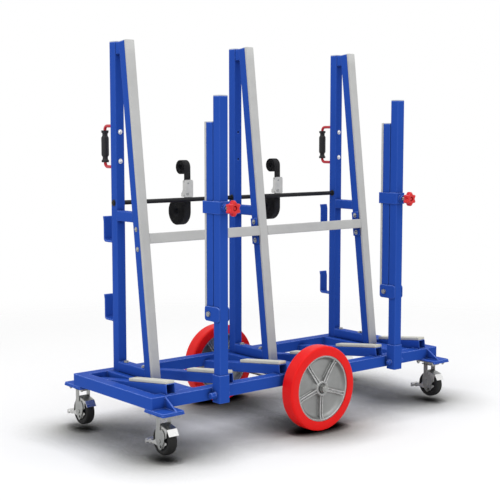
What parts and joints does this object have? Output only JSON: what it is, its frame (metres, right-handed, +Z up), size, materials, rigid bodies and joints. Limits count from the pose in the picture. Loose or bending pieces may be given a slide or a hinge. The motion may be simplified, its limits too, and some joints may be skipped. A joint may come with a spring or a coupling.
{
  "type": "slab buggy",
  "caption": "Steel trolley that carries stone slabs on edge against A-frames, with clamp arms, big centre wheels and braked casters.",
  "frame": {"origin": "bottom centre of the whole buggy, on the floor under the middle of its length and width", "axes": "+X along the buggy's length, +Y towards the back (posts with storage hooks), -Y towards the clamp posts, +Z up"},
  "size_m": [1.36, 0.671, 1.3563],
  "materials": {
    "blue_powder_coat": "satin powder coat",
    "grey_rubber": "matte rubber facing",
    "cream_rubber": "matte rubber pad",
    "red_polyurethane": "semi gloss polyurethane",
    "cast_aluminium": "cast, satin",
    "zinc_plate": "bright zinc plate",
    "black_rubber": "matte black rubber",
    "black_steel": "black enamel",
    "black_plastic": "matte moulded plastic",
    "red_plastic": "semi gloss moulded plastic",
    "red_enamel": "semi gloss enamel",
    "black_webbing": "woven webbing"
  },
  "bodies": {
    "base": {"a_frame_face_left": "grey_rubber", "a_frame_face_middle": "grey_rubber", "a_frame_face_right": "grey_rubber", "a_frame_left": "blue_powder_coat", "a_frame_middle": "blue_powder_coat", "a_frame_right": "blue_powder_coat", "arm_pivot_bolt_left": "zinc_plate", "arm_pivot_bolt_right": "zinc_plate", "base_frame": "blue_powder_coat", "caster_plate_back_left": "zinc_plate", "caster_plate_back_right": "zinc_plate", "caster_plate_front_left": "zinc_plate", "caster_plate_front_right": "zinc_plate", "clamp_post_left": "blue_powder_coat", "clamp_post_right": "blue_powder_coat", "cross_bar_face_left": "grey_rubber", "cross_bar_face_right": "grey_rubber", "cross_bar_left": "blue_powder_coat", "cross_bar_right": "blue_powder_coat", "handle_bar_left": "red_enamel", "handle_bar_right": "red_enamel", "handle_grip_left": "black_plastic", "handle_grip_right": "black_plastic", "slab_rest_pad_1": "cream_rubber", "slab_rest_pad_2": "cream_rubber", "slab_rest_pad_3": "cream_rubber", "slab_rest_pad_4": "cream_rubber", "slab_rest_pad_5": "cream_rubber", "slab_rest_pad_6": "cream_rubber", "strap_rod": "black_steel", "wheel_axle": "zinc_plate"},
    "wheel_front": {"wheel_tyre_front": "red_polyurethane", "wheel_rim_front": "cast_aluminium"},
    "wheel_back": {"wheel_tyre_back": "red_polyurethane", "wheel_rim_back": "cast_aluminium"},
    "caster_fork_front_left": {"caster_fork_front_left": "zinc_plate"},
    "caster_wheel_front_left": {"caster_wheel_front_left": "black_rubber"},
    "caster_brake_front_left": {"caster_brake_front_left": "zinc_plate"},
    "caster_fork_front_right": {"caster_fork_front_right": "zinc_plate"},
    "caster_wheel_front_right": {"caster_wheel_front_right": "black_rubber"},
    "caster_brake_front_right": {"caster_brake_front_right": "zinc_plate"},
    "caster_fork_back_left": {"caster_fork_back_left": "zinc_plate"},
    "caster_wheel_back_left": {"caster_wheel_back_left": "black_rubber"},
    "caster_brake_back_left": {"caster_brake_back_left": "zinc_plate"},
    "caster_fork_back_right": {"caster_fork_back_right": "zinc_plate"},
    "caster_wheel_back_right": {"caster_wheel_back_right": "black_rubber"},
    "caster_brake_back_right": {"caster_brake_back_right": "zinc_plate"},
    "arm_left": {"clamp_arm_left": "blue_powder_coat", "clamp_arm_face_left": "grey_rubber"},
    "screw_left": {"clamp_screw_left": "zinc_plate"},
    "knob_left": {"clamp_knob_left": "red_plastic"},
    "strap_left": {"strap_webbing_left": "black_webbing", "strap_buckle_left": "zinc_plate"},
    "arm_right": {"clamp_arm_right": "blue_powder_coat", "clamp_arm_face_right": "grey_rubber"},
    "screw_right": {"clamp_screw_right": "zinc_plate"},
    "knob_right": {"clamp_knob_right": "red_plastic"},
    "strap_right": {"strap_webbing_right": "black_webbing", "strap_buckle_right": "zinc_plate"}
  },
  "joints": [
    {"name": "wheel_spin_front", "type": "hinge", "parent": "base", "child": "wheel_front", "pos_m": [0, -0.2845, 0.15], "axis": [0, 1, 0], "continuous": true},
    {"name": "wheel_spin_back", "type": "hinge", "parent": "base", "child": "wheel_back", "pos_m": [0, 0.2855, 0.15], "axis": [0, 1, 0], "continuous": true},
    {"name": "caster_swivel_front_left", "type": "hinge", "parent": "base", "child": "caster_fork_front_left", "pos_m": [-0.635, -0.247, 0.066], "axis": [0, 0, 1], "continuous": true},
    {"name": "caster_spin_front_left", "type": "hinge", "parent": "caster_fork_front_left", "child": "caster_wheel_front_left", "pos_m": [-0.635, -0.249, 0.066], "axis": [1, 0, 0], "continuous": true},
    {"name": "brake_pedal_front_left", "type": "hinge", "parent": "caster_fork_front_left", "child": "caster_brake_front_left", "pos_m": [-0.635, -0.249, 0.066], "axis": [-1, 0, 0], "range_deg": [0, 15]},
    {"name": "caster_swivel_front_right", "type": "hinge", "parent": "base", "child": "caster_fork_front_right", "pos_m": [0.635, -0.247, 0.066], "axis": [0, 0, 1], "continuous": true},
    {"name": "caster_spin_front_right", "type": "hinge", "parent": "caster_fork_front_right", "child": "caster_wheel_front_right", "pos_m": [0.635, -0.249, 0.066], "axis": [1, 0, 0], "continuous": true},
    {"name": "brake_pedal_front_right", "type": "hinge", "parent": "caster_fork_front_right", "child": "caster_brake_front_right", "pos_m": [0.635, -0.249, 0.066], "axis": [-1, 0, 0], "range_deg": [0, 15]},
    {"name": "caster_swivel_back_left", "type": "hinge", "parent": "base", "child": "caster_fork_back_left", "pos_m": [-0.635, 0.248, 0.066], "axis": [0, 0, 1], "continuous": true},
    {"name": "caster_spin_back_left", "type": "hinge", "parent": "caster_fork_back_left", "child": "caster_wheel_back_left", "pos_m": [-0.635, 0.246, 0.066], "axis": [1, 0, 0], "continuous": true},
    {"name": "brake_pedal_back_left", "type": "hinge", "parent": "caster_fork_back_left", "child": "caster_brake_back_left", "pos_m": [-0.635, 0.246, 0.066], "axis": [-1, 0, 0], "range_deg": [0, 15]},
    {"name": "caster_swivel_back_right", "type": "hinge", "parent": "base", "child": "caster_fork_back_right", "pos_m": [0.635, 0.248, 0.066], "axis": [0, 0, 1], "continuous": true},
    {"name": "caster_spin_back_right", "type": "hinge", "parent": "caster_fork_back_right", "child": "caster_wheel_back_right", "pos_m": [0.635, 0.246, 0.066], "axis": [1, 0, 0], "continuous": true},
    {"name": "brake_pedal_back_right", "type": "hinge", "parent": "caster_fork_back_right", "child": "caster_brake_back_right", "pos_m": [0.635, 0.246, 0.066], "axis": [-1, 0, 0], "range_deg": [0, 15]},
    {"name": "arm_tilt_left", "type": "hinge", "parent": "base", "child": "arm_left", "pos_m": [-0.415, -0.222, 0.449], "axis": [-1, 0, 0], "range_deg": [0, 3]},
    {"name": "screw_travel_left", "type": "slide", "parent": "base", "child": "screw_left", "axis": [0, 1, 0], "range_m": [0, 0.0185]},
    {"name": "knob_spin_left", "type": "hinge", "parent": "screw_left", "child": "knob_left", "pos_m": [-0.415, -0.3245, 0.801], "axis": [0, 1, 0], "continuous": true},
    {"name": "strap_slide_left", "type": "slide", "parent": "base", "child": "strap_left", "axis": [1, 0, 0], "range_m": [-0.12, 0.12]},
    {"name": "arm_tilt_right", "type": "hinge", "parent": "base", "child": "arm_right", "pos_m": [0.415, -0.222, 0.449], "axis": [-1, 0, 0], "range_deg": [0, 3]},
    {"name": "screw_travel_right", "type": "slide", "parent": "base", "child": "screw_right", "axis": [0, 1, 0], "range_m": [0, 0.0185]},
    {"name": "knob_spin_right", "type": "hinge", "parent": "screw_right", "child": "knob_right", "pos_m": [0.415, -0.3245, 0.801], "axis": [0, 1, 0], "continuous": true},
    {"name": "strap_slide_right", "type": "slide", "parent": "base", "child": "strap_right", "axis": [1, 0, 0], "range_m": [-0.12, 0.12]}
  ],
  "couplings": [
    {"joint": "screw_travel_left", "follows": "arm_tilt_left", "m_per_rad": 0.3495},
    {"joint": "screw_travel_right", "follows": "arm_tilt_right", "m_per_rad": 0.3495}
  ]
}
